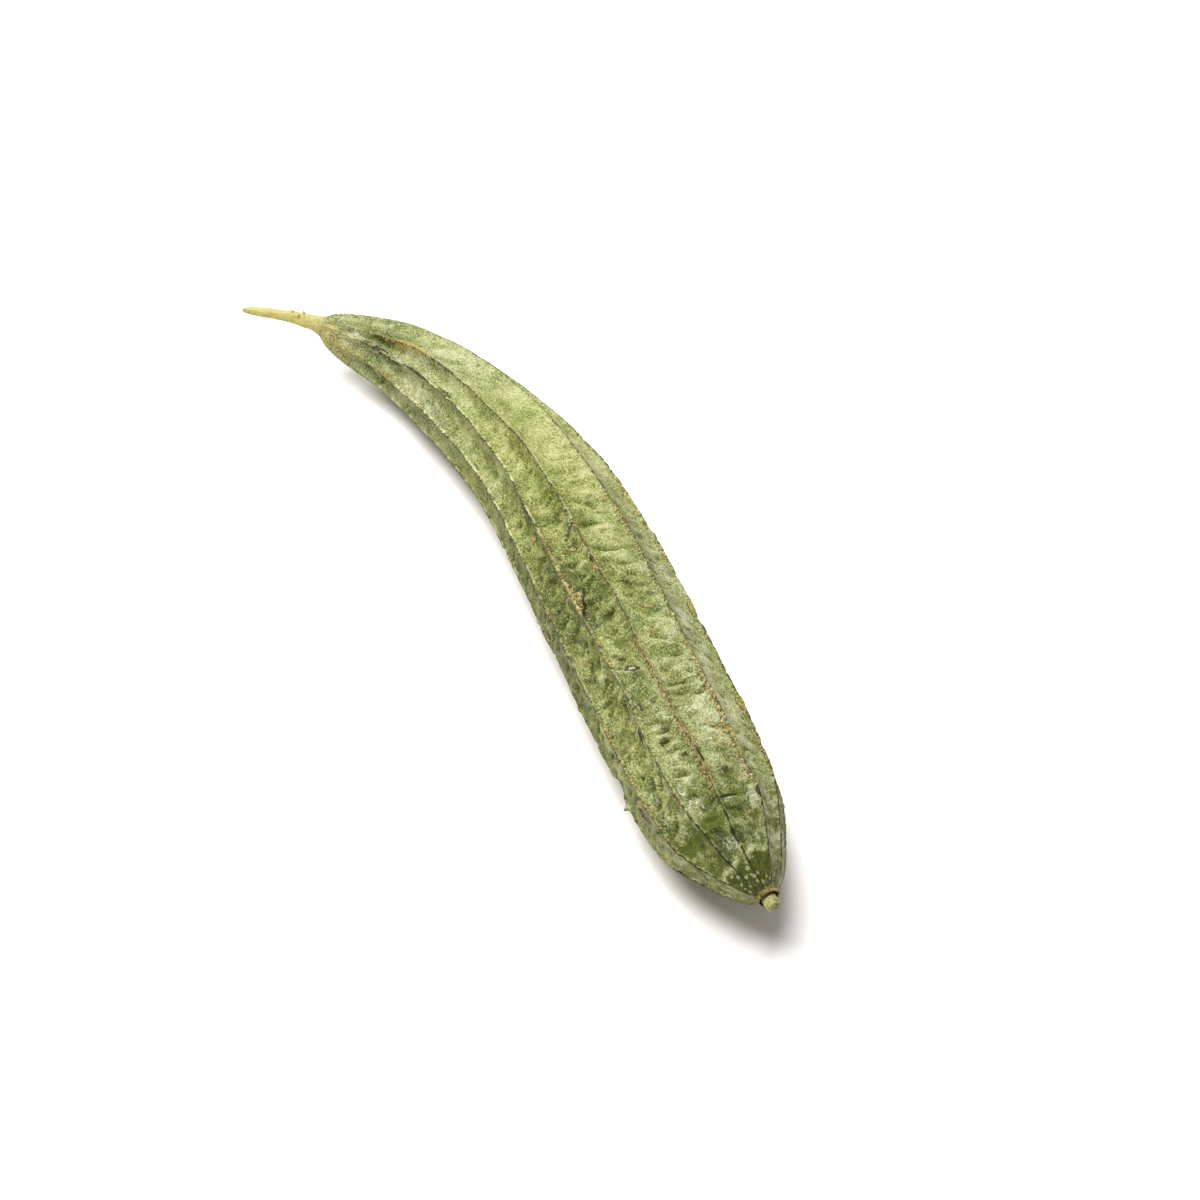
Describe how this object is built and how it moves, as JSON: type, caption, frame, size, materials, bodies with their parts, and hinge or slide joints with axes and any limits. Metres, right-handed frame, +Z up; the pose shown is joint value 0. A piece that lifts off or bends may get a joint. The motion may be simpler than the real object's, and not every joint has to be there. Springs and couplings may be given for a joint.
{
  "type": "ridge gourd",
  "caption": "Long ribbed green gourd lying on its side, gently curved, tapering to a narrow neck with a short cut stem and a dried blossom stub.",
  "frame": {"origin": "centre of the bounding box at its lowest face, on the surface the gourd lies on", "axes": "+X from the stem towards the blossom end, +Y towards the outer side of the curve, +Z up"},
  "size_m": [0.3445, 0.0788, 0.0523],
  "materials": {
    "rind": "waxy, slightly puckered green rind with dry tan rib crests",
    "stem": "dry straw-yellow stalk, matt",
    "stub": "dry corky tan button, matt"
  },
  "bodies": {
    "root": {"gourd_body": "rind", "stem": "stem", "blossom_stub": "stub"}
  },
  "joints": []
}
